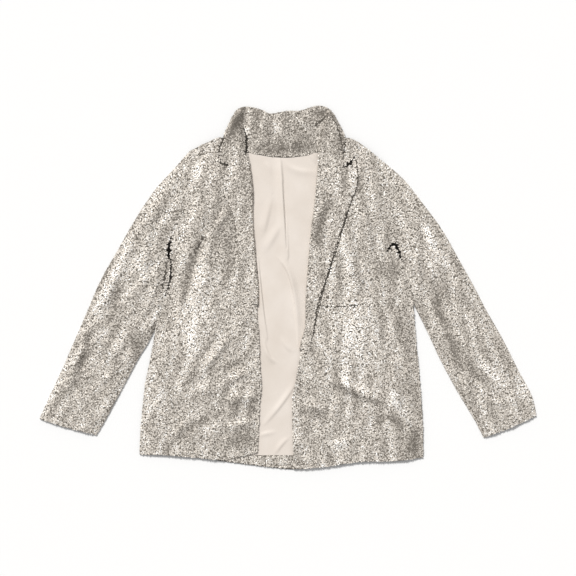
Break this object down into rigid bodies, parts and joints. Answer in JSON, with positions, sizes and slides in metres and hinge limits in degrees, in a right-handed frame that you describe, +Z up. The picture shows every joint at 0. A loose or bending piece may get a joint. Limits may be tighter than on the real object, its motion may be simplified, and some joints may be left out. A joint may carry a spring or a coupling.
{
  "type": "sequinned open-front blazer jacket",
  "caption": "Sequinned open-front jacket with notched lapels and satin lining, laid flat on its back with the sleeves out.",
  "frame": {"origin": "on the floor under the middle of the jacket's box, as it lies", "axes": "+X towards the wearer's left sleeve, +Y towards the collar, +Z up from the floor"},
  "size_m": [0.994, 0.7272, 0.0126],
  "materials": {
    "sequin_cloth": "champagne silver sequins sewn close together on a fine knitted ground, glittering",
    "satin_lining": "pale champagne satin, soft sheen"
  },
  "bodies": {
    "root": {"back": "sequin_cloth", "back_lining": "satin_lining", "back_hem_band": "sequin_cloth", "right_front": "sequin_cloth", "left_front": "sequin_cloth", "right_lapel": "sequin_cloth", "left_lapel": "sequin_cloth", "under_collar": "sequin_cloth", "upper_collar": "sequin_cloth", "right_sleeve": "sequin_cloth", "left_sleeve": "sequin_cloth", "right_pocket": "sequin_cloth", "left_pocket": "sequin_cloth"}
  },
  "joints": []
}
